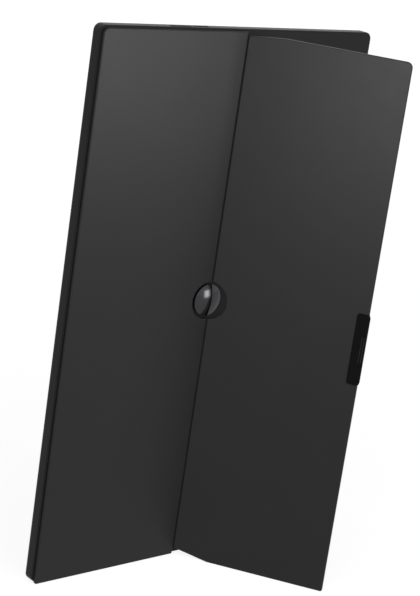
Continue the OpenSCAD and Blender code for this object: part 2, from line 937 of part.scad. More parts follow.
module back_skin() {
    color([0.28, 0.28, 0.29]) {
        back_layer(0, skin_t, 0);
        translate([crease_x, cover_y, 0])
            slab(skin_t - tiny, panel_y)
                difference() {
                    back_2d(0);
                    back_2d(wrap_t);
                }
        translate([crease_x, cover_y, 0])
            for (span = [[1, stud_z - fold_hole], [stud_z + fold_hole, cover_h - 1]])
                fold_roll(span[0], span[1]);
    }
}

// Roll of the skin in the crease, with the web that joins it to the half-panel
module fold_roll(z0, z1) {
    web = fold_r / 2;
    translate([0, 0, z0])
        cylinder(r = fold_r, h = z1 - z0, $fn = 24);
    block([-crease_gap - web, web / 2, z0], [0, web * 1.5, z1]);
}

module back_board() {
    color([0.45, 0.42, 0.36])
        back_layer(skin_t, lining_y, wrap_t + 0.05);
}

module back_lining() {
    color([0.13, 0.13, 0.14])
        back_layer(lining_y, panel_y, wrap_t + 0.05);
}

module cover_tape() {
    color([0.85, 0.84, 0.78])
        slab(back_y - tape_t, back_y)
            for (share = tape_xs)
                translate([crease_x - half_w * share - tape_w / 2, 12])
                    square([tape_w, stud_z - hole_r - 20]);
    color([0.85, 0.84, 0.78])
        slab(back_y - tape_t, back_y)
            for (share = tape_xs)
                translate([crease_x - half_w * share - tape_w / 2, stud_z + hole_r + 8])
                    square([tape_w, cover_h - stud_z - hole_r - 20]);
}

// Notch in the wing's inner layers for the grip's inner leg
module grip_notch(grow) {
    translate([wing_w - grip_leg - grow, grip_z])
        translate([0, -grip_l / 2 - grow])
            square([grip_leg + 2 * grow + 2, grip_l + 2 * grow]);
}

module wing_skin() {
    color([0.28, 0.28, 0.29])
        on_wing()
            difference() {
                union() {
                    slab(0, skin_t)
                        wing_2d(0);
                    slab(skin_t - tiny, panel_y)
                        difference() {
                            wing_2d(0);
                            wing_2d(wrap_t);
                        }
                }
                slab(lining_y, panel_y + 1)
                    grip_notch(fit);
            }
}

module wing_board() {
    color([0.45, 0.42, 0.36])
        on_wing()
            difference() {
                slab(skin_t, lining_y)
                    wing_2d(wrap_t + 0.05);
                for (z = magnet_zs)
                    translate([wing_w - magnet_inset, lining_y - magnet_t - 0.05, z])
                        rotate([-90, 0, 0])
                            cylinder(r = magnet_r + fit, h = magnet_t + 1);
            }
}

module wing_lining() {
    color([0.13, 0.13, 0.14])
        on_wing()
            slab(lining_y, panel_y)
                difference() {
                    wing_2d(wrap_t + 0.05);
                    grip_notch(fit);
                }
}

module wing_magnets() {
    color([0.66, 0.66, 0.68])
        on_wing()
            for (z = magnet_zs)
                translate([wing_w - magnet_inset, lining_y - magnet_t, z])
                    rotate([-90, 0, 0])
                        cylinder(r = magnet_r, h = magnet_t);
}

module edge_grip() {
    r = 2;
    low = grip_z - grip_l / 2;
    high = grip_z + grip_l / 2;
    rib_step = 1.6;
    color([0.05, 0.05, 0.05])
        on_wing() {
            slab(-grip_proud, 0)
                round_2d(wing_w - grip_w, low, wing_w + grip_edge, high, r);
            slab(-grip_proud - 0.15, -grip_proud + tiny)
                for (k = [1, 2])
                    translate([wing_w + grip_edge - k * rib_step, grip_z])
                        square([0.5, grip_l * 0.36], center = true);
            slab(-tiny, panel_y)
                box_2d(wing_w, low + r, wing_w + grip_edge, high - r);
            slab(lining_y, panel_y)
                box_2d(wing_w - grip_leg, low, wing_w + tiny, high);
        }
}

rear_shell();
front_bezel();
panel_gasket();
lcd_cell();
panel_frame();
film_stack();
light_guide();
reflector_sheet();
led_strip();
driver_board();
driver_flex();
panel_cable();
main_board();
board_parts();
shield_can();
board_screws();
usb_socket();
switch_body();
switch_plunger();
power_key();
status_lens();
stud();
stud_plate();
stud_screw();
latch_plates();
cover_tape();
back_lining();
back_board();
back_skin();
wing_lining();
wing_board();
wing_skin();
wing_magnets();
edge_grip();
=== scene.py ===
# %% [markdown]
# Portable monitor that stands on its short edge
#
# The monitor is a thin slab with a two-panel cover on its back. One panel lies flat on the housing. The
# other, the wing, is folded out at the crease and is the leg that the monitor stands on. A domed steel
# stud comes through a round hole that the crease cuts in two. The construction is already there as
# solids; this file gives every surface its finish and remodels the soft-edged pieces as finer meshes.

# %% Start from the finished construction
import json
import math

import bpy
import numpy as np
from mathutils import Matrix, Vector


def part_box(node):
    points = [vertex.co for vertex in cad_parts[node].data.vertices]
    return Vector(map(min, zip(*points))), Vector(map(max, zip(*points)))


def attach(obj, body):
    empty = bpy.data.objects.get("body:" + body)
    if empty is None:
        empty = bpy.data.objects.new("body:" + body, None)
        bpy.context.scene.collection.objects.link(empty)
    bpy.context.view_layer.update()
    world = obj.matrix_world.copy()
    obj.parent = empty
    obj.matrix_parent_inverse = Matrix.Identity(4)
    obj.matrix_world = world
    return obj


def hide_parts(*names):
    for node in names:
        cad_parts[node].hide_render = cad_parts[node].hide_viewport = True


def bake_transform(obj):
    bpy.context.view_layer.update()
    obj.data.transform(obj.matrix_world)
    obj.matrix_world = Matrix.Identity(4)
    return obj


MM = 0.001
near = 0.01 * MM
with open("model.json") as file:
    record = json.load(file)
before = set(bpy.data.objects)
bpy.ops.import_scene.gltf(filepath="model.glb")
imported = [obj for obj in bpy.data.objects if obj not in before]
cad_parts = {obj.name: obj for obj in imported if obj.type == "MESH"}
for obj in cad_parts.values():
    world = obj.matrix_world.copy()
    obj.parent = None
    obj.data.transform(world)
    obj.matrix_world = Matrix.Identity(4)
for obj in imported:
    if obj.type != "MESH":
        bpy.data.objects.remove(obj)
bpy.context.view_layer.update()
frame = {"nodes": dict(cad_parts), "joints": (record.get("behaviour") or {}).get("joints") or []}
nodes = frame["nodes"]

# %% [markdown]
# Measuring the construction
#
# Nothing is placed by eye. Each new piece takes its size from the solid that it dresses, so the script
# reads the corner points of the solids as arrays. The open wing is measured in its own frame: u runs from
# the crease to the free edge, d goes in from the outer face, and z is up. In that frame the wing is a
# flat panel again.

# %% Points of a solid, and the wing's own frame
def solid_points(name):
    """All corner points of a solid as an array of x, y, z."""
    mesh = nodes[name].data
    flat = np.empty(len(mesh.vertices) * 3)
    mesh.vertices.foreach_get("co", flat)
    return flat.reshape(-1, 3)


hinge = next(joint for joint in frame["joints"] if joint["name"] == "wing_fold")
crease = np.array(hinge["pos_m"])
wing_angle = math.radians(-hinge["range_deg"][0])
wing_cos = math.cos(wing_angle)
wing_sin = math.sin(wing_angle)
turn = np.array([[wing_cos, -wing_sin], [wing_sin, wing_cos]])


def from_wing(points):
    """Wing points u, d, z to the room: u and d turn about the crease by the open angle, and z stays."""
    placed = points.copy()
    placed[..., :2] = points[..., :2] @ turn + crease[:2]
    return placed


def to_wing(points):
    """Room points to u, d, z of the wing: the same turn taken backwards."""
    local = points.copy()
    local[..., :2] = (points[..., :2] - crease[:2]) @ turn.T
    return local


print("wing opened by", round(math.degrees(wing_angle), 1), "degrees, crease at", (crease / MM).round(2))

# %% Sizes of the cover, the hole and the stud
wing_points = to_wing(solid_points("wing_skin"))
panel_points = solid_points("back_skin")
stud_low, stud_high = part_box("stud")
shell_low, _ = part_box("rear_shell")

cover_h = wing_points[:, 2].max()
wing_w = wing_points[:, 0].max()
half_w = crease[0] - panel_points[:, 0].min()
crease_gap = wing_points[:, 0].min()
wrap_depth = wing_points[:, 1].max()
stud_at = np.array([(stud_low.x + stud_high.x) / 2, (stud_low.z + stud_high.z) / 2])
hole_r = np.hypot(*(panel_points[:, [0, 2]] - stud_at).T).min()
board_points = to_wing(solid_points("wing_board"))
skin_t = board_points[:, 1].min()
lining_depth = board_points[:, 1].max()

at_bottom = wing_points[wing_points[:, 2] < near, 0]
at_top = wing_points[wing_points[:, 2] > cover_h - near, 0]
at_crease = wing_points[wing_points[:, 0] < crease_gap + near, 2]
cut_l = at_bottom.min()
cut_low = at_crease.min()
cut_top = cover_h - at_crease.max()
cover_sizes = (wing_w, half_w, cover_h, hole_r, skin_t, lining_depth, wrap_depth)
cut_sizes = (cut_l, cut_low, cut_top, at_bottom.max(), at_top.max())
print("cover mm:", [round(v / MM, 2) for v in cover_sizes])
print("relief cuts mm:", [round(v / MM, 2) for v in cut_sizes])

# %% [markdown]
# Outlines, and a profile carried along them
#
# A cover panel is cut from sheet: an outline with round corners and half of the hole. Its edge is
# wrapped, so seen in section the surface rolls over from the face to the side. That is one profile
# carried along one outline. The outline is an array of points, the profile is a list of distances inwards
# and depths, and moving every outline point along its own corner direction gives all the rings at once.

# %% Outline helpers
def arc(centre, radius, start, stop, count):
    """Points on a circle: centre plus radius times cosine and sine of angles evenly spaced in degrees."""
    angles = np.radians(np.linspace(start, stop, count))
    return np.column_stack([centre[0] + radius * np.cos(angles), centre[1] + radius * np.sin(angles)])


def split_sides(corners, longest):
    """Adds evenly spaced points on every side that is longer than the longest step."""
    following = np.roll(corners, -1, axis=0)
    counts = np.maximum(1, np.ceil(np.hypot(*(following - corners).T) / longest)).astype(int)
    starts = np.repeat(corners, counts, axis=0)
    stops = np.repeat(following, counts, axis=0)
    within = np.concatenate([np.arange(n) / n for n in counts])[:, None]
    return starts + (stops - starts) * within


def corner_directions(outline):
    """Inward direction at each point of an anticlockwise outline, as long as keeps both sides parallel.
    It is the sum of the two sides' inward normals over one plus their dot product."""
    sides = np.roll(outline, -1, axis=0) - outline
    sides /= np.hypot(*sides.T)[:, None]
    after = np.column_stack([-sides[:, 1], sides[:, 0]])
    before = np.roll(after, 1, axis=0)
    return (after + before) / (1 + (after * before).sum(axis=1))[:, None]


print("quarter circle of radius 1:", arc((0, 0), 1, 0, 90, 3).round(2).tolist())

# %% Meshes from arrays
sharp_angle = math.radians(35)


def mesh_piece(name, points, faces, material, smooth=True):
    """A mesh object from an array of points and a list of faces. The object is at the origin, and its place
    is in its mesh. Edges that turn by more than the sharp angle are shaded as edges."""
    mesh = bpy.data.meshes.new(name)
    mesh.from_pydata(points.reshape(-1, 3).tolist(), [], faces)
    mesh.update()
    mesh.shade_smooth() if smooth else mesh.shade_flat()
    mesh.set_sharp_from_angle(angle=sharp_angle)
    piece = bpy.data.objects.new(name, mesh)
    bpy.context.scene.collection.objects.link(piece)
    piece.data.materials.append(material)
    return piece


def ring_faces(rings, count, closed=False):
    """Quads between neighbouring rings of a grid. Each ring runs round, and the first axis may close too."""
    here = np.arange(rings if closed else rings - 1)[:, None] * count
    above = (here + count) % (rings * count)
    along = np.arange(count)[None, :]
    ahead = (along + 1) % count
    quads = np.stack([here + along, here + ahead, above + ahead, above + along], axis=-1)
    return quads.reshape(-1, 4).tolist()


def sheet_rings(outline, profile):
    """Rings of a sheet: outline point plus inward direction times distance, at the profile's depth.
    The profile is rows of distance inwards and depth; a depth may differ from point to point."""
    inward = corner_directions(outline)
    rings = []
    for inset, depth in profile:
        moved = outline + inward * inset
        rings.append(np.column_stack([moved[:, 0], np.broadcast_to(depth, len(outline)), moved[:, 1]]))
    return np.array(rings)


print("outline and mesh helpers are ready")

# %% [markdown]
# Camera, floor and light
#
# The photograph looks at the back of the monitor from the left and from above, through a long lens. The
# long lens keeps the edges nearly parallel, and the small shift stands for the crop of a wider picture.

# %% Camera
camera_at = Vector((-0.7634, -0.8680, 0.5412))
camera_look = Vector((0.6657, 0.6997, -0.2593)).normalized()
camera_up = Vector((0.0638, 0.2928, 0.9540))
camera_right = camera_look.cross(camera_up).normalized()
camera_up = camera_right.cross(camera_look)

camera_data = bpy.data.cameras.new("photo_camera")
camera_data.sensor_fit = "AUTO"
camera_data.sensor_width = 36
camera_data.lens = 104.93
camera_data.shift_x = -0.1091
camera_data.shift_y = -0.0721
camera = bpy.data.objects.new("photo_camera", camera_data)
camera.matrix_world = Matrix((camera_right, camera_up, -camera_look)).transposed().to_4x4()
camera.location = camera_at
bpy.context.scene.collection.objects.link(camera)
bpy.context.scene.camera = camera
print("camera distance from the stud in m:", round((camera_at - Vector((0, 0, 0.19))).length, 3))

# %% [markdown]
# Shader node groups
#
# Plastic, soft coating and metal differ in their shader, but they share effects: a fine grain, a slow
# shift of tone, and roughness that is never quite even. Each effect is built once as a group with named
# sockets and is placed in every material with that material's own values.

# %% Helpers for shader nodes
def new_group(name, inputs, outputs):
    """An empty shader node group with the named sockets, and its two end nodes."""
    group = bpy.data.node_groups.new(name, "ShaderNodeTree")
    for socket, kind, value in inputs:
        made = group.interface.new_socket(socket, in_out="INPUT", socket_type=kind)
        made.default_value = value
    for socket, kind in outputs:
        group.interface.new_socket(socket, in_out="OUTPUT", socket_type=kind)
    return group, group.nodes.new("NodeGroupInput"), group.nodes.new("NodeGroupOutput")


def add_node(tree, kind, **settings):
    """A shader node with its settings. A setting called in_2 sets the value of the input with number 2."""
    node = tree.nodes.new("ShaderNode" + kind)
    for key, value in settings.items():
        if key.startswith("in_"):
            node.inputs[int(key[3:])].default_value = value
        else:
            setattr(node, key, value)
    return node


print("helpers for shader nodes are ready")

# %% Group: fine grain
grain_group, grain_in, grain_out = new_group(
    "fine_grain",
    [("Cells per metre", "NodeSocketFloat", 1500.0), ("Softness", "NodeSocketFloat", 0.5)],
    [("Height", "NodeSocketFloat")])
grain_place = add_node(grain_group, "TexCoord")
grain_noise = add_node(grain_group, "TexNoise", in_3=3.0)
grain_cells = add_node(grain_group, "TexVoronoi", feature="SMOOTH_F1")
grain_mix = add_node(grain_group, "Mix", data_type="FLOAT")
grain_group.links.new(grain_place.outputs["Object"], grain_noise.inputs["Vector"])
grain_group.links.new(grain_place.outputs["Object"], grain_cells.inputs["Vector"])
grain_group.links.new(grain_in.outputs["Cells per metre"], grain_noise.inputs["Scale"])
grain_group.links.new(grain_in.outputs["Cells per metre"], grain_cells.inputs["Scale"])
grain_group.links.new(grain_in.outputs["Softness"], grain_mix.inputs[0])
grain_group.links.new(grain_cells.outputs["Distance"], grain_mix.inputs[2])
grain_group.links.new(grain_noise.outputs["Fac"], grain_mix.inputs[3])
grain_group.links.new(grain_mix.outputs[0], grain_out.inputs["Height"])
print("grain group sockets:", len(grain_group.interface.items_tree))

# %% Group: slow shift of tone
tone_group, tone_in, tone_out = new_group(
    "tone_shift",
    [("Colour", "NodeSocketColor", (0.5, 0.5, 0.5, 1)), ("Amount", "NodeSocketFloat", 0.1),
     ("Patches per metre", "NodeSocketFloat", 20.0)],
    [("Colour", "NodeSocketColor"), ("Mask", "NodeSocketFloat")])
tone_place = add_node(tone_group, "TexCoord")
tone_noise = add_node(tone_group, "TexNoise", in_3=4.0)
tone_level = add_node(tone_group, "MapRange", in_1=0.3, in_2=0.7, in_3=-1.0, in_4=1.0)
tone_times = add_node(tone_group, "Math", operation="MULTIPLY_ADD", in_2=1.0)
tone_scale = add_node(tone_group, "VectorMath", operation="SCALE")
tone_group.links.new(tone_place.outputs["Object"], tone_noise.inputs["Vector"])
tone_group.links.new(tone_in.outputs["Patches per metre"], tone_noise.inputs["Scale"])
tone_group.links.new(tone_noise.outputs["Fac"], tone_level.inputs[0])
tone_group.links.new(tone_level.outputs[0], tone_times.inputs[0])
tone_group.links.new(tone_in.outputs["Amount"], tone_times.inputs[1])
tone_group.links.new(tone_in.outputs["Colour"], tone_scale.inputs[0])
tone_group.links.new(tone_times.outputs[0], tone_scale.inputs["Scale"])
tone_group.links.new(tone_scale.outputs[0], tone_out.inputs["Colour"])
tone_group.links.new(tone_noise.outputs["Fac"], tone_out.inputs["Mask"])

print("tone group sockets:", len(tone_group.interface.items_tree))

# %% Group: uneven roughness
rough_group, rough_in, rough_out = new_group(
    "uneven_roughness",
    [("Roughness", "NodeSocketFloat", 0.5), ("Amount", "NodeSocketFloat", 0.1),
     ("Patches per metre", "NodeSocketFloat", 60.0)],
    [("Roughness", "NodeSocketFloat")])
rough_place = add_node(rough_group, "TexCoord")
rough_noise = add_node(rough_group, "TexNoise", in_3=5.0)
rough_level = add_node(rough_group, "MapRange", in_1=0.3, in_2=0.7, in_3=-1.0, in_4=1.0)
rough_sum = add_node(rough_group, "Math", operation="MULTIPLY_ADD")
rough_group.links.new(rough_place.outputs["Object"], rough_noise.inputs["Vector"])
rough_group.links.new(rough_in.outputs["Patches per metre"], rough_noise.inputs["Scale"])
rough_group.links.new(rough_noise.outputs["Fac"], rough_level.inputs[0])
rough_group.links.new(rough_level.outputs[0], rough_sum.inputs[0])
rough_group.links.new(rough_in.outputs["Amount"], rough_sum.inputs[1])
rough_group.links.new(rough_in.outputs["Roughness"], rough_sum.inputs[2])
rough_group.links.new(rough_sum.outputs[0], rough_out.inputs["Roughness"])
print("groups:", [group.name for group in bpy.data.node_groups])

# %% [markdown]
# One recipe for hard and coated surfaces
#
# Every finish here is a Principled shader with four things that vary over the surface: its colour through
# the tone group, its roughness through the roughness group, its fine relief through the grain group and a
# Bump node. What is the same all over, such as metallic or the specular level, is set on the shader's own
# sockets.

# %% Material recipe
def finish_material(name, colour, roughness, tone=0.06, tone_per_m=25, rough_by=0.05, rough_per_m=80,
                    cells_per_m=1500, softness=0.5, relief=0.00002, **uniform):
    """A Principled material: colour and roughness from the shared groups, relief in metres from the grain.
    What is left over in uniform goes straight to the shader's sockets of those names."""
    material = bpy.data.materials.new(name)
    material.use_nodes = True
    tree = material.node_tree
    shader = tree.nodes["Principled BSDF"]
    for socket, value in uniform.items():
        shader.inputs[socket.replace("_", " ")].default_value = value
    shade = tree.nodes.new("ShaderNodeGroup")
    shade.node_tree = tone_group
    shade.inputs["Colour"].default_value = (*colour, 1)
    shade.inputs["Amount"].default_value = tone
    shade.inputs["Patches per metre"].default_value = tone_per_m
    rough = tree.nodes.new("ShaderNodeGroup")
    rough.node_tree = rough_group
    rough.inputs["Roughness"].default_value = roughness
    rough.inputs["Amount"].default_value = rough_by
    rough.inputs["Patches per metre"].default_value = rough_per_m
    grain = tree.nodes.new("ShaderNodeGroup")
    grain.node_tree = grain_group
    grain.inputs["Cells per metre"].default_value = cells_per_m
    grain.inputs["Softness"].default_value = softness
    bump = tree.nodes.new("ShaderNodeBump")
    bump.inputs["Distance"].default_value = relief
    tree.links.new(shade.outputs["Colour"], shader.inputs["Base Color"])
    tree.links.new(rough.outputs["Roughness"], shader.inputs["Roughness"])
    tree.links.new(grain.outputs["Height"], bump.inputs["Height"])
    tree.links.new(bump.outputs["Normal"], shader.inputs["Normal"])
    return material


print("recipe ready")

# %% [markdown]
# Woven and foamed surfaces
#
# The cover is lined with a fine woven cloth. A weave is two sets of threads that go over and under each
# other. Two wave patterns at right angles give the threads, and a checker of the same pitch says which
# set lies on top. The group gives out a height for the bump and a mask that darkens the gaps between the
# threads.

# %% Group: weave
weave_group, weave_in, weave_out = new_group(
    "cloth_weave",
    [("Vector", "NodeSocketVector", (0.0, 0.0, 0.0)), ("Threads per metre", "NodeSocketFloat", 1800.0)],
    [("Height", "NodeSocketFloat"), ("Gap", "NodeSocketFloat")])
weave_scale = add_node(weave_group, "VectorMath", operation="SCALE")
weave_split = add_node(weave_group, "SeparateXYZ")
weave_group.links.new(weave_in.outputs["Vector"], weave_scale.inputs[0])
weave_group.links.new(weave_in.outputs["Threads per metre"], weave_scale.inputs["Scale"])
weave_group.links.new(weave_scale.outputs[0], weave_split.inputs[0])


def thread_profile(axis):
    """Absolute value of the sine of pi times the coordinate: one round thread for each whole number."""
    turns = add_node(weave_group, "Math", operation="MULTIPLY", in_1=math.pi)
    wave = add_node(weave_group, "Math", operation="SINE")
    rise = add_node(weave_group, "Math", operation="ABSOLUTE")
    weave_group.links.new(weave_split.outputs[axis], turns.inputs[0])
    weave_group.links.new(turns.outputs[0], wave.inputs[0])
    weave_group.links.new(wave.outputs[0], rise.inputs[0])
    return rise.outputs[0], wave.outputs[0]


warp, warp_wave = thread_profile("X")
weft, weft_wave = thread_profile("Z")
weave_over = add_node(weave_group, "Math", operation="MULTIPLY")
weave_side = add_node(weave_group, "Math", operation="GREATER_THAN", in_1=0.0)
weave_pick = add_node(weave_group, "Mix", data_type="FLOAT")
weave_gap = add_node(weave_group, "Math", operation="MULTIPLY")
weave_group.links.new(warp_wave, weave_over.inputs[0])
weave_group.links.new(weft_wave, weave_over.inputs[1])
weave_group.links.new(weave_over.outputs[0], weave_side.inputs[0])
weave_group.links.new(weave_side.outputs[0], weave_pick.inputs[0])
weave_group.links.new(warp, weave_pick.inputs[2])
weave_group.links.new(weft, weave_pick.inputs[3])
weave_group.links.new(warp, weave_gap.inputs[0])
weave_group.links.new(weft, weave_gap.inputs[1])
weave_group.links.new(weave_pick.outputs[0], weave_out.inputs["Height"])
weave_group.links.new(weave_gap.outputs[0], weave_out.inputs["Gap"])
print("weave nodes:", len(weave_group.nodes))

# %% [markdown]
# The lit area of the screen
#
# Behind the screen's glass the picture area is a hair lighter than the black border that the glass makers
# print round it. It is a rectangle in x and z, so it is found from the piece's own coordinates, with an
# edge as sharp as print.

# %% Group: picture area
area_group, area_in, area_out = new_group(
    "picture_area",
    [("Half width", "NodeSocketFloat", 0.1), ("Half height", "NodeSocketFloat", 0.17),
     ("Middle X", "NodeSocketFloat", 0.0), ("Middle Z", "NodeSocketFloat", 0.2)],
    [("Mask", "NodeSocketFloat")])
area_place = add_node(area_group, "TexCoord")
area_split = add_node(area_group, "SeparateXYZ")
area_group.links.new(area_place.outputs["Object"], area_split.inputs[0])


def inside(axis, middle, half):
    """One where the distance from the middle along an axis is below the half size, and zero outside."""
    away = add_node(area_group, "Math", operation="SUBTRACT")
    size = add_node(area_group, "Math", operation="ABSOLUTE")
    test = add_node(area_group, "Math", operation="LESS_THAN")
    area_group.links.new(area_split.outputs[axis], away.inputs[0])
    area_group.links.new(area_in.outputs[middle], away.inputs[1])
    area_group.links.new(away.outputs[0], size.inputs[0])
    area_group.links.new(size.outputs[0], test.inputs[0])
    area_group.links.new(area_in.outputs[half], test.inputs[1])
    return test.outputs[0]


area_both = add_node(area_group, "Math", operation="MULTIPLY")
area_group.links.new(inside("X", "Middle X", "Half width"), area_both.inputs[0])
area_group.links.new(inside("Z", "Middle Z", "Half height"), area_both.inputs[1])
area_group.links.new(area_both.outputs[0], area_out.inputs["Mask"])
print("picture area nodes:", len(area_group.nodes))

# %% [markdown]
# Finishes that the photograph shows
#
# The cover has a satin coating, the housing is a fine matt moulding, the stud is polished metal in dark
# surroundings, and the grip is plain rubber. All of them are nearly black, so what tells them apart is
# how sharply each returns the light. The roughness and the specular level carry that, and the colours
# stay close.

# %% Finishes of the cover
cover_skin = finish_material(
    "cover_skin", (0.038, 0.038, 0.040), 0.29, tone=0.04, rough_by=0.01, relief=0.00001, cells_per_m=2200,
    Specular_IOR_Level=0.18)
# The crease's darker colour is painted shade of the fold; its higher roughness is the duller creased
# coating.
painted_crease_shade = finish_material(
    "painted_crease_shade", (0.009, 0.009, 0.010), 0.5, tone=0.04, relief=0.00001, Specular_IOR_Level=0.1)
cover_stiffener = finish_material("cover_stiffener", (0.20, 0.17, 0.12), 0.8, tone=0.2, tone_per_m=200)
cover_tape = finish_material("cover_tape", (0.65, 0.63, 0.55), 0.6)
grip_rubber = finish_material(
    "grip_rubber", (0.0065, 0.0065, 0.007), 0.45, cells_per_m=5000, relief=0.00001, Specular_IOR_Level=0.05)
print("materials so far:", [material.name for material in bpy.data.materials])

# %% Finishes of the housing and the stud
housing_plastic = finish_material(
    "housing_plastic", (0.018, 0.018, 0.020), 0.40, tone=0.05, rough_by=0.02, cells_per_m=3500,
    relief=0.000008, Specular_IOR_Level=0.12)
key_plastic = finish_material(
    "key_plastic", (0.045, 0.045, 0.047), 0.35, tone=0.03, cells_per_m=4000, relief=0.000004,
    Specular_IOR_Level=0.3)
bezel_plastic = finish_material(
    "bezel_plastic", (0.010, 0.010, 0.011), 0.38, cells_per_m=3500, relief=0.000006, Specular_IOR_Level=0.3)
lens_plastic = finish_material("lens_plastic", (0.004, 0.004, 0.005), 0.12, tone=0.02, relief=0.000001)
stud_chrome = finish_material(
    "stud_chrome", (0.055, 0.055, 0.058), 0.13, tone=0.05, rough_by=0.02, relief=0.000002, Metallic=1.0)
print("stud's metallic:", stud_chrome.node_tree.nodes["Principled BSDF"].inputs["Metallic"].default_value)

# %% [markdown]
# Ribs that catch the light
#
# The two fine ribs on the grip are painted lighter than the rubber round them: a painted highlight for the
# light that their tops catch. They could have a material of their own, but a value stored on the mesh's
# points is simpler: it is one on the ribs and zero elsewhere, and the colour is mixed by it. The cell that
# builds the grip writes that value.

# %% Painted highlight on the grip's ribs
rub_tree = grip_rubber.node_tree
rub_shader = rub_tree.nodes["Principled BSDF"]
rub_highlight = add_node(rub_tree, "Attribute", attribute_name="painted_rib_highlight")
rub_mix = add_node(rub_tree, "Mix", data_type="RGBA", blend_type="MIX")
# The ribs' lighter colour is a painted highlight.
rub_mix.inputs[7].default_value = (0.055, 0.055, 0.057, 1)
rub_out = rub_shader.inputs["Base Color"].links[0].from_socket
rub_tree.links.new(rub_highlight.outputs["Fac"], rub_mix.inputs[0])
rub_tree.links.new(rub_out, rub_mix.inputs[6])
rub_tree.links.new(rub_mix.outputs[2], rub_shader.inputs["Base Color"])
print("grip nodes:", len(rub_tree.nodes))

# %% [markdown]
# The lining and the screen
#
# Both start from the common recipe and replace one input. The lining takes its height and its dark gaps
# from the weave group, which is turned with the wing so that the threads run along the wing's edges. The
# screen mixes in a slightly bluer black over its picture area.

# %% Finish of the woven lining
threads_per_m = 1800
thread_relief = 0.00008
cover_lining = finish_material(
    "cover_lining", (0.030, 0.030, 0.032), 0.85, tone=0.12, tone_per_m=40, Specular_IOR_Level=0.2,
    Sheen_Weight=0.15, Sheen_Roughness=0.6)
lining_tree = cover_lining.node_tree
lining_shader = lining_tree.nodes["Principled BSDF"]
lining_place = add_node(lining_tree, "TexCoord")
lining_turn = add_node(lining_tree, "Mapping")
lining_turn.inputs["Rotation"].default_value = (0, 0, wing_angle)
lining_weave = lining_tree.nodes.new("ShaderNodeGroup")
lining_weave.node_tree = weave_group
lining_weave.inputs["Threads per metre"].default_value = threads_per_m
lining_bump = lining_tree.nodes["Bump"]
lining_bump.inputs["Distance"].default_value = thread_relief
lining_tree.links.new(lining_place.outputs["Object"], lining_turn.inputs["Vector"])
lining_tree.links.new(lining_turn.outputs[0], lining_weave.inputs["Vector"])
lining_tree.links.new(lining_weave.outputs["Height"], lining_bump.inputs["Height"])
lining_mix = add_node(lining_tree, "Mix", data_type="RGBA", blend_type="MIX")
lining_mix.inputs[6].default_value = (0.008, 0.008, 0.009, 1)
shade_out = lining_shader.inputs["Base Color"].links[0].from_socket
lining_tree.links.new(lining_weave.outputs["Gap"], lining_mix.inputs[0])
lining_tree.links.new(shade_out, lining_mix.inputs[7])
lining_tree.links.new(lining_mix.outputs[2], lining_shader.inputs["Base Color"])
print("lining nodes:", len(lining_tree.nodes))

# %% Finish of the screen
print_border = 1.6 * MM
screen_glass = finish_material(
    "screen_glass", (0.0035, 0.0035, 0.004), 0.22, tone=0.02, relief=0.000001, cells_per_m=6000)
screen_tree = screen_glass.node_tree
screen_low, screen_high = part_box("light_guide")
screen_area = screen_tree.nodes.new("ShaderNodeGroup")
screen_area.node_tree = area_group
screen_area.inputs["Middle X"].default_value = (screen_low.x + screen_high.x) / 2
screen_area.inputs["Middle Z"].default_value = (screen_low.z + screen_high.z) / 2
screen_area.inputs["Half width"].default_value = (screen_high.x - screen_low.x) / 2 - print_border
screen_area.inputs["Half height"].default_value = (screen_high.z - screen_low.z) / 2 - print_border
screen_mix = add_node(screen_tree, "Mix", data_type="RGBA", blend_type="MIX")
screen_mix.inputs[7].default_value = (0.008, 0.0085, 0.011, 1)
border_out = screen_tree.nodes["Principled BSDF"].inputs["Base Color"].links[0].from_socket
screen_tree.links.new(screen_area.outputs["Mask"], screen_mix.inputs[0])
screen_tree.links.new(border_out, screen_mix.inputs[6])
screen_tree.links.new(screen_mix.outputs[2], screen_tree.nodes["Principled BSDF"].inputs["Base Color"])
print("printed border in mm:", round(print_border / MM, 2))

# %% [markdown]
# The hidden pieces
#
# Nothing inside shows while the housing is closed. Still each solid gets the finish that it would have on
# the bench, such as tinned steel, board lacquer, acrylic, film or foam. The recipe needs only a few values
# for each of them.

# %% Finishes of the inner metal pieces
tinned_sheet = finish_material(
    "tinned_sheet", (0.62, 0.62, 0.64), 0.32, tone=0.05, rough_by=0.08, Metallic=1.0)
plain_steel = finish_material("plain_steel", (0.50, 0.50, 0.52), 0.38, tone=0.08, rough_by=0.1, Metallic=1.0)
magnet_nickel = finish_material(
    "magnet_nickel", (0.48, 0.46, 0.43), 0.2, tone=0.03, rough_by=0.04, Metallic=1.0)
print("inner metals:", [material.name for material in (tinned_sheet, plain_steel, magnet_nickel)])

# %% Finishes of the boards, films and foams
gasket_foam = finish_material(
    "gasket_foam", (0.012, 0.012, 0.012), 0.95, cells_per_m=2500, softness=0.1, relief=0.00006,
    Specular_IOR_Level=0.1)
board_green = finish_material("board_green", (0.02, 0.12, 0.06), 0.35, tone=0.12, tone_per_m=300)
chip_black = finish_material("chip_black", (0.018, 0.018, 0.019), 0.55, cells_per_m=9000)
cable_dark = finish_material("cable_dark", (0.05, 0.05, 0.055), 0.5)
frame_plastic = finish_material("frame_plastic", (0.75, 0.75, 0.72), 0.45)
optical_film = finish_material("optical_film", (0.85, 0.86, 0.88), 0.25, tone=0.02)
guide_acrylic = finish_material("guide_acrylic", (0.78, 0.84, 0.86), 0.08, tone=0.02, rough_by=0.02)
led_phosphor = finish_material("led_phosphor", (0.85, 0.75, 0.30), 0.4)
amber_film = finish_material("amber_film", (0.50, 0.23, 0.05), 0.3)
print("materials:", len(bpy.data.materials))

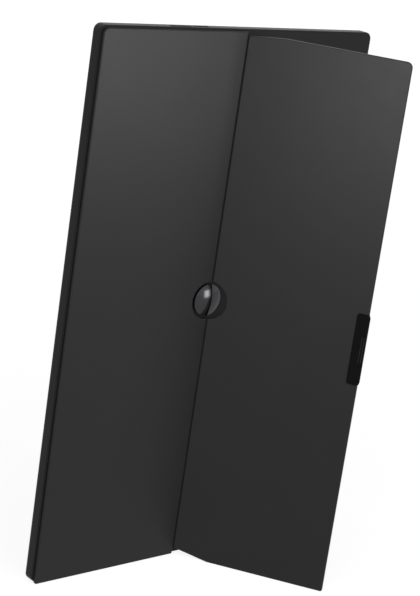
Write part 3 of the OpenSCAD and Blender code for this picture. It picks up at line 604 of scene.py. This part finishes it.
# %% Every solid gets its finish
node_finishes = {
    housing_plastic: ["rear_shell"],
    key_plastic: ["power_key"],
    lens_plastic: ["status_lens"],
    bezel_plastic: ["front_bezel"],
    gasket_foam: ["panel_gasket"],
    cover_skin: ["back_skin", "wing_skin"],
    cover_lining: ["back_lining", "wing_lining"],
    cover_stiffener: ["back_board", "wing_board"],
    cover_tape: ["cover_tape"],
    stud_chrome: ["stud"],
    grip_rubber: ["edge_grip"],
    screen_glass: ["lcd_cell"],
    tinned_sheet: ["shield_can", "usb_socket", "switch_body"],
    plain_steel: ["board_screws", "stud_plate", "stud_screw", "latch_plates"],
    magnet_nickel: ["wing_magnets"],
    board_green: ["main_board", "driver_board"],
    chip_black: ["board_parts", "switch_plunger"],
    cable_dark: ["panel_cable"],
    frame_plastic: ["panel_frame"],
    optical_film: ["film_stack", "reflector_sheet"],
    guide_acrylic: ["light_guide"],
    led_phosphor: ["led_strip"],
    amber_film: ["driver_flex"],
}
for material, names in node_finishes.items():
    for name in names:
        nodes[name].data.materials.clear()
        nodes[name].data.materials.append(material)
print("finished solids:", sum(map(len, node_finishes.values())), "of", len(nodes))

# %% [markdown]
# The cover's two skins
#
# The skin is a coated sheet glued over a stiff board and wrapped round its edges, so no edge of the cover
# is sharp. A solid with flat sides can't show that roll-over. Here the outline of each panel is worked
# out from the measured sizes, and a section with a quarter-round edge is carried along it.

# %% Outline of a panel
def panel_outline(width, hole_u, low_cut, high_cut, low_r, high_r):
    """Anticlockwise outline in u and z: the sloping cuts beside the crease, two round free corners, and the
    part of the hole's circle that lies beyond the crease side."""
    reach = math.degrees(math.acos((crease_gap - hole_u) / hole_r))
    corners = [
        [[crease_gap, low_cut], [cut_l, 0]] if low_cut else [[crease_gap, 0]],
        arc((width - low_r, low_r), low_r, -90, 0, 9),
        [[width, grip_low.z - step], [width, grip_low.z], [width, grip_high.z], [width, grip_high.z + step]],
        arc((width - high_r, cover_h - high_r), high_r, 0, 90, 13),
        [[cut_l, cover_h], [crease_gap, cover_h - high_cut]] if high_cut else [[crease_gap, cover_h]],
        arc((hole_u, stud_at[1]), hole_r, reach, -reach, 49),
    ]
    return split_sides(np.concatenate(corners), 12 * MM)


step = 0.05 * MM
grip_low, grip_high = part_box("edge_grip")
corner_low, corner_top = 1.4 * MM, 4 * MM
wing_outline = panel_outline(wing_w, -crease[0], cut_low, cut_top, corner_low, corner_top)
flat_outline = panel_outline(half_w, crease[0], 0, 0, corner_low, corner_top)
print("outline points:", len(wing_outline), len(flat_outline))

# %% Section of the skin
skin_wall = 0.35 * MM
edge_r = 0.55 * MM
hold = 0.3 * MM


def quarter_round(radius, steps):
    """Rows of distance inwards and depth on a quarter circle, from the side to the face."""
    angles = np.linspace(0, np.pi / 2, steps)
    return np.column_stack([radius * (1 - np.cos(angles)), radius * (1 - np.sin(angles))]).tolist()


def skin_piece(name, outline, place, end_depth, material):
    """A wrapped skin: the section goes from the inside of the wrap round its end and over the edge to the
    face. Two flat faces close it, the outer face and the inner one."""
    inner_rows = [(skin_wall, skin_t), (skin_wall, end_depth)]
    over_rows = quarter_round(edge_r, 7)
    rings = sheet_rings(outline, inner_rows + [(0, end_depth)] + over_rows + [(edge_r + hold, 0)])
    count = len(outline)
    faces = ring_faces(len(rings), count)
    faces += [list(range(count))[::-1], list(range((len(rings) - 1) * count, len(rings) * count))]
    return mesh_piece(name, place(rings), faces, material)


def from_panel(points):
    """Panel points to the room: the flat panel starts at the crease and runs against the wing's u."""
    return points + [crease[0], crease[1], 0]


print("skin wall and edge radius in mm:", round(skin_wall / MM, 2), round(edge_r / MM, 2))

# %% The two skins
at_free_edge = wing_outline[:, 0] > wing_w - 1 * MM
grip_middle = (grip_low.z + grip_high.z) / 2
grip_reach = (grip_high.z - grip_low.z) / 2 + near
beside_grip = at_free_edge & (abs(wing_outline[:, 1] - grip_middle) <= grip_reach)
wing_end = np.where(beside_grip, lining_depth, wrap_depth)
wing_cover = skin_piece("wing_cover_skin", wing_outline, from_wing, wing_end, cover_skin)
flipped = (flat_outline * [-1, 1])[::-1]
back_cover = skin_piece("back_cover_skin", flipped, from_panel, wrap_depth, cover_skin)
for piece, body, node in ((wing_cover, "wing", "wing_skin"), (back_cover, "monitor", "back_skin")):
    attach(piece, body)
    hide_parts(node)
print("skin faces:", len(wing_cover.data.polygons), len(back_cover.data.polygons))

# %% [markdown]
# The crease
#
# The skin runs on from one panel to the other, and the crease is only the strip between the two boards.
# The real strip bends with the wing; here it is a piece of its own, shaped for the wing as it stands open.
# Its section is a short curve between the two panels, seen from above, and it runs in two spans, below the
# hole and above it. Its colour is painted darker than the flat coating, as painted shade of the fold, and it
# is duller too. The painted shade gives the thin dark line of the fold.

# %% Section of the crease
strip_t = 0.25 * MM
strip_depth = 0.32 * MM
strip_reach = crease_gap + 0.15 * MM
bend_share = 0.6
end_gap = 0.4 * MM
hole_gap = 0.6 * MM


def strip_section(steps):
    """Closed section in x and y: a curve from the flat panel to the wing, thickened to both sides. The curve
    weights its start, bend and end by (1-s) squared, 2s(1-s) and s squared. The section runs anticlockwise
    as seen from above, so that its faces look outwards."""
    s = np.linspace(0, 1, steps)[:, None]
    start = np.array([[-strip_reach, strip_depth]])
    bend = np.array([[0, strip_depth * bend_share]])
    end = np.array([[strip_reach, strip_depth]]) @ turn
    middle = (1 - s) ** 2 * start + 2 * s * (1 - s) * bend + s ** 2 * end
    along = np.gradient(middle, axis=0)
    across = np.column_stack([-along[:, 1], along[:, 0]]) / np.hypot(*along.T)[:, None]
    outer_side = middle - across * strip_t / 2
    inner_side = middle + across * strip_t / 2
    return np.concatenate([outer_side, inner_side[::-1]]) + crease[:2]


def crease_span(low, high):
    """The section repeated at even heights from low to high."""
    heights = np.linspace(low, high, 12)
    section = strip_section(9)
    rings = np.empty((len(heights), len(section), 3))
    rings[..., :2] = section
    rings[..., 2] = heights[:, None]
    return rings


def closed_tube(rings, first):
    """Faces of a tube with both ends closed, whose points start at the number first."""
    count = rings.shape[1]
    faces = np.array(ring_faces(len(rings), count)) + first
    ends = [list(range(count))[::-1], list(range((len(rings) - 1) * count, len(rings) * count))]
    return faces.tolist() + [[first + k for k in end] for end in ends]


print("strip thickness in mm:", round(strip_t / MM, 2))

# %% Crease strip
strip_clear = math.sqrt(hole_r ** 2 - crease[0] ** 2) + hole_gap
spans = [crease_span(cut_low + end_gap, stud_at[1] - strip_clear),
         crease_span(stud_at[1] + strip_clear, cover_h - cut_top - end_gap)]
strip_faces = closed_tube(spans[0], 0) + closed_tube(spans[1], spans[0].shape[0] * spans[0].shape[1])
crease_strip = mesh_piece("crease_strip", np.concatenate(spans), strip_faces, painted_crease_shade)
strip_end = from_wing(np.array([[crease_gap, strip_depth, crease[2]]]))[0]
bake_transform(crease_strip)
print("crease strip faces:", len(strip_faces))

# %% [markdown]
# The stud
#
# The stud is turned on a lathe: a neck through the back wall, a flat underside, a straight rim with a
# fine groove and a low dome. A lathe turns one profile round an axis, and so does this surface. The edges
# have small radii, because those are what catch a line of light on bright metal.

# %% A surface turned on a lathe
def lathe(name, profile, centre, around, material):
    """A surface turned about the y axis: x and z are radius times cosine and sine, and y is the height.
    The first and last rows of the profile are points on the axis."""
    angles = np.linspace(0, 2 * np.pi, around, endpoint=False)
    radius, height = np.array(profile).T
    rings = np.stack([centre[0] + np.outer(radius[1:-1], np.cos(angles)),
                      np.repeat(height[1:-1, None], around, axis=1),
                      centre[1] + np.outer(radius[1:-1], np.sin(angles))], axis=-1)
    poles = np.array([[centre[0], height[0], centre[1]], [centre[0], height[-1], centre[1]]])
    points = np.concatenate([rings.reshape(-1, 3), poles])
    faces = ring_faces(len(rings), around)
    last = (len(rings) - 1) * around
    fan = np.arange(around)
    ahead = (fan + 1) % around
    start = len(points) - 2
    faces += np.column_stack([ahead, fan, np.full(around, start)]).tolist()
    faces += np.column_stack([last + fan, last + ahead, np.full(around, start + 1)]).tolist()
    return mesh_piece(name, points, faces, material)


print("lathe is ready")

# %% Stud
stud_r = (stud_high.x - stud_low.x) / 2
stud_top = stud_low.y
stud_foot = stud_high.y
neck_r = 4 * MM
rim_t = 1.5 * MM
rim_round = 0.3 * MM
groove = 0.18 * MM
seat_gap = 0.02 * MM
smallest_angle = 0.02

back_y = shell_low.y
seat_y = back_y - seat_gap
rim_y = back_y - rim_t
dome_rise = rim_y - stud_top
dome_r = (stud_r ** 2 + dome_rise ** 2) / (2 * dome_rise)
swing = np.linspace(math.asin((stud_r - rim_round) / dome_r), smallest_angle, 28)
dome_rows = np.column_stack([dome_r * np.sin(swing), stud_top + dome_r * (1 - np.cos(swing))])
stud_profile = np.concatenate([
    [[0, stud_foot], [neck_r, stud_foot], [neck_r, seat_y]],
    [[stud_r - 0.4 * MM, seat_y], [stud_r - 0.1 * MM, back_y - 0.06 * MM], [stud_r, back_y - 0.2 * MM]],
    [[stud_r, rim_y + 0.45 * MM], [stud_r - groove, rim_y + 0.38 * MM], [stud_r - groove, rim_y + 0.2 * MM],
     [stud_r, rim_y + 0.12 * MM], [stud_r - 0.05 * MM, rim_y]],
    dome_rows,
    [[0, stud_top]],
])
stud_piece = lathe("domed_stud", stud_profile, stud_at, 128, stud_chrome)
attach(stud_piece, "monitor")
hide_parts("stud")
print("stud radius and height in mm:", round(stud_r / MM, 2), round((back_y - stud_top) / MM, 2))

# %% [markdown]
# The edge grip
#
# A soft rubber grip sits on the wing's free edge, where a finger opens the cover. It is moulded in one
# piece: a thin pad on the outer face with two fine ribs, a side over the edge, and a short leg on the
# inside. Each of them is an outline with a profile in the wing's own frame, so the grip is built flat and
# then turned with the wing.

# %% Sizes of the grip
grip_points = to_wing(solid_points("edge_grip"))
grip_in, rib_top = grip_points[:, :2].min(axis=0)
grip_out, leg_face = grip_points[:, :2].max(axis=0)
pad_face = grip_points[grip_points[:, 0] < grip_in + near, 1].min()
leg_in = grip_points[grip_points[:, 1] > lining_depth + 0.1 * MM, 0].min()
rib_points = grip_points[grip_points[:, 1] < pad_face - 0.1 * MM]
rib_edges = np.unique((rib_points[:, 0] / MM).round(2)) * MM
print("grip mm:", [round(v / MM, 2) for v in (grip_in, grip_out, leg_in, pad_face, leg_face, rib_top)])
print("rib edges mm:", (rib_edges / MM).round(2))


# %% Shapes of the grip's parts
def round_box(u_low, u_high, z_low, z_high, corner):
    """Anticlockwise rectangle in u and z whose corners are quarter circles."""
    quarters = [arc((u_high - corner, z_low + corner), corner, -90, 0, 7),
                arc((u_high - corner, z_high - corner), corner, 0, 90, 7),
                arc((u_low + corner, z_high - corner), corner, 90, 180, 7),
                arc((u_low + corner, z_low + corner), corner, 180, 270, 7)]
    return split_sides(np.concatenate(quarters), 4 * MM)


def soft_pad(outline, base, face, radius):
    """Rings of a pad: straight sides from the base depth, a quarter round, and a face at the face depth.
    A face that is deeper than its base looks the other way, so its rings run backwards."""
    way = np.sign(base - face)
    rows = [(0, base)] + [(inset, face + way * depth) for inset, depth in quarter_round(radius, 6)]
    rings = sheet_rings(outline, rows + [(radius * 1.5, face)])
    return rings if way > 0 else rings[:, ::-1]


def edge_sweep(low, high):
    """The grip's side over the wing's edge: a section in u and d with one round corner, from low to high."""
    side = grip_out - tuck
    back = leg_face - tuck
    turn_in = arc((side - side_round, back - side_round), side_round, 0, 90, 7)
    section = np.concatenate([[[wing_w, -side_hidden], [side, -side_hidden]], turn_in, [[wing_w, back]]])
    heights = np.linspace(low, high, 14)
    rings = np.empty((len(heights), len(section), 3))
    rings[..., :2] = section
    rings[..., 2] = heights[:, None]
    return rings


pad_corner = 2 * MM
pad_round = 0.35 * MM
pad_sunk = 0.05 * MM
leg_corner = 0.8 * MM
leg_over = 0.3 * MM
rib_corner = 0.24 * MM
fine_round = 0.12 * MM
side_round = 0.4 * MM
side_hidden = 0.2 * MM
tuck = 0.02 * MM
print("grip length in mm:", round((grip_high.z - grip_low.z) / MM, 2))

# %% Edge grip
pad_box = round_box(grip_in, grip_out, grip_low.z, grip_high.z, pad_corner)
leg_box = round_box(leg_in, wing_w + leg_over, grip_low.z, grip_high.z, leg_corner)
grip_shells = [
    soft_pad(pad_box, pad_sunk, pad_face, pad_round),
    soft_pad(leg_box, lining_depth, leg_face, fine_round),
    edge_sweep(grip_low.z + pad_corner, grip_high.z - pad_corner),
]
rib_start_at = sum(rings.shape[0] * rings.shape[1] for rings in grip_shells)
rib_low, rib_high = rib_points[:, 2].min(), rib_points[:, 2].max()
for rib_start, rib_stop in rib_edges.reshape(-1, 2):
    rib_box = round_box(rib_start, rib_stop, rib_low, rib_high, rib_corner)
    grip_shells.append(soft_pad(rib_box, pad_face + tuck, rib_top, fine_round))

grip_faces = []
grip_count = 0
for rings in grip_shells:
    grip_faces += closed_tube(rings, grip_count)
    grip_count += rings.shape[0] * rings.shape[1]
grip_mesh_points = from_wing(np.concatenate([rings.reshape(-1, 3) for rings in grip_shells]))
grip_piece = mesh_piece("soft_edge_grip", grip_mesh_points, grip_faces, grip_rubber)
print("grip shells and faces:", len(grip_shells), len(grip_faces))

# %% The ribs' value and the grip's body
# The value is one on the ribs, where the painted highlight goes.
painted_rib_highlight = grip_piece.data.attributes.new("painted_rib_highlight", "FLOAT", "POINT")
painted_rib_highlight.data.foreach_set("value", (np.arange(grip_count) >= rib_start_at).astype(float))
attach(grip_piece, "wing")
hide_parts("edge_grip")
print("points on the ribs:", grip_count - rib_start_at)

# %% [markdown]
# Floor and light
#
# The floor is a wide round disc, pale and plain. It has to be white in the picture and still hold the
# shadow, so rays from the camera, and those that reflect in the surfaces, find a glow added to the lit
# colour. The glow is weaker near the object, where the lamps light the floor, and full where their light
# has faded. Reflections get less of it than the camera, because a paper floor that is lit by lamps is not
# as bright as a white sky.

# %% A round disc
def polar_disc(name, radius, rings, around, material):
    """A flat disc: radius grows as the square of the ring number, and points go evenly round."""
    reach = radius * np.linspace(0.02, 1, rings) ** 2
    angles = np.linspace(0, 2 * np.pi, around, endpoint=False)
    points = np.stack([np.outer(reach, np.cos(angles)), np.outer(reach, np.sin(angles)),
                       np.zeros((rings, around))], axis=-1)
    faces = ring_faces(rings, around)
    faces = [face[::-1] for face in faces] + [list(range(around))]
    return mesh_piece(name, points, faces, material, smooth=False)


print("disc is ready")

# %% Floor
paper_grey = 0.5
near_glow, far_glow = 0.88, 1.0
near_edge, far_edge = 0.25, 1.6
reflected_share = 0.7
floor_radius = 8.0

floor_material = bpy.data.materials.new("floor_paper")
floor_material.use_nodes = True
floor_tree = floor_material.node_tree
floor_shader = floor_tree.nodes["Principled BSDF"]
floor_shader.inputs["Base Color"].default_value = (paper_grey, paper_grey, paper_grey, 1)
floor_shader.inputs["Roughness"].default_value = 1
floor_shader.inputs["Specular IOR Level"].default_value = 0
floor_shader.inputs["Emission Color"].default_value = (1, 1, 1, 1)
floor_path = add_node(floor_tree, "LightPath")
floor_shine = add_node(floor_tree, "Math", operation="MULTIPLY", in_1=reflected_share)
floor_seen = add_node(floor_tree, "Math", operation="MAXIMUM")
floor_place = add_node(floor_tree, "TexCoord")
floor_away = add_node(floor_tree, "VectorMath", operation="LENGTH")
floor_level = add_node(floor_tree, "MapRange", in_1=near_edge, in_2=far_edge, in_3=near_glow, in_4=far_glow)
floor_glow = add_node(floor_tree, "Math", operation="MULTIPLY")
floor_tree.links.new(floor_path.outputs["Is Camera Ray"], floor_seen.inputs[0])
floor_tree.links.new(floor_path.outputs["Is Glossy Ray"], floor_shine.inputs[0])
floor_tree.links.new(floor_shine.outputs[0], floor_seen.inputs[1])
floor_tree.links.new(floor_place.outputs["Object"], floor_away.inputs[0])
floor_tree.links.new(floor_away.outputs["Value"], floor_level.inputs[0])
floor_tree.links.new(floor_seen.outputs[0], floor_glow.inputs[0])
floor_tree.links.new(floor_level.outputs[0], floor_glow.inputs[1])
floor_tree.links.new(floor_glow.outputs[0], floor_shader.inputs["Emission Strength"])
floor = polar_disc("floor", floor_radius, 24, 96, floor_material)
print("floor radius in m:", floor_radius)

# %% [markdown]
# The surroundings
#
# A world of even white stands for the studio. The camera, mirrors and glass see it at full strength, so
# that the background is white and metal has something to reflect. It lights the surfaces with much less
# than that, because the soft boxes do that work.

# %% World
world_fill = 0.12
world_seen_at = 1.0
world = bpy.data.worlds.new("studio")
bpy.context.scene.world = world
world.use_nodes = True
world_tree = world.node_tree
world_light = world_tree.nodes["Background"]
world_path = add_node(world_tree, "LightPath")
world_seen = add_node(world_tree, "Math", operation="MAXIMUM")
world_more = add_node(world_tree, "Math", operation="MAXIMUM")
world_level = add_node(world_tree, "MapRange", in_3=world_fill, in_4=world_seen_at)
world_tree.links.new(world_path.outputs["Is Camera Ray"], world_seen.inputs[0])
world_tree.links.new(world_path.outputs["Is Glossy Ray"], world_seen.inputs[1])
world_tree.links.new(world_seen.outputs[0], world_more.inputs[0])
world_tree.links.new(world_path.outputs["Is Transmission Ray"], world_more.inputs[1])
world_tree.links.new(world_more.outputs[0], world_level.inputs[0])
world_tree.links.new(world_level.outputs[0], world_light.inputs["Strength"])
world_light.inputs["Color"].default_value = (1, 1, 1, 1)
print("world light on surfaces:", world_fill)

# %% [markdown]
# Soft boxes
#
# A large lamp gives a broad soft sheen on a satin surface, and a small one gives a hard spot. The sheen
# on the upper part of both panels comes from one low box on each side, placed where the panels would
# mirror it. A weak one overhead opens up the end face. The camera doesn't see the lamps, so they never
# stand in a view.

# %% Lamps
def softbox(name, place, aim, width, height, power):
    """A rectangular lamp at a place, turned towards its aim, with its power in watts."""
    data = bpy.data.lights.new(name, "AREA")
    data.shape = "RECTANGLE"
    data.size = width
    data.size_y = height
    data.energy = power
    lamp = bpy.data.objects.new(name, data)
    lamp.rotation_mode = "QUATERNION"
    lamp.rotation_quaternion = (Vector(aim) - Vector(place)).to_track_quat("-Z", "Y")
    lamp.location = place
    lamp.visible_camera = False
    bpy.context.scene.collection.objects.link(lamp)
    return lamp


lamp_rows = [
    ("right_light", (0.79, -1.37, 0.22), (-0.05, 0, 0.25), 0.5, 0.42, 4.6),
    ("left_light", (-1.5, -0.97, 0.20), (0.05, -0.05, 0.25), 0.5, 0.40, 6.3),
    ("top_light", (-0.15, -0.35, 1.05), (-0.03, -0.03, 0.2), 0.6, 0.6, 1.6),
]
for row in lamp_rows:
    softbox(*row)

# %% [markdown]
# Colour view
#
# The finer pieces stay within the box of the construction. The picture is shown in the plain Standard
# view.

# %% Plain colour view
bpy.context.scene.view_settings.view_transform = "Standard"
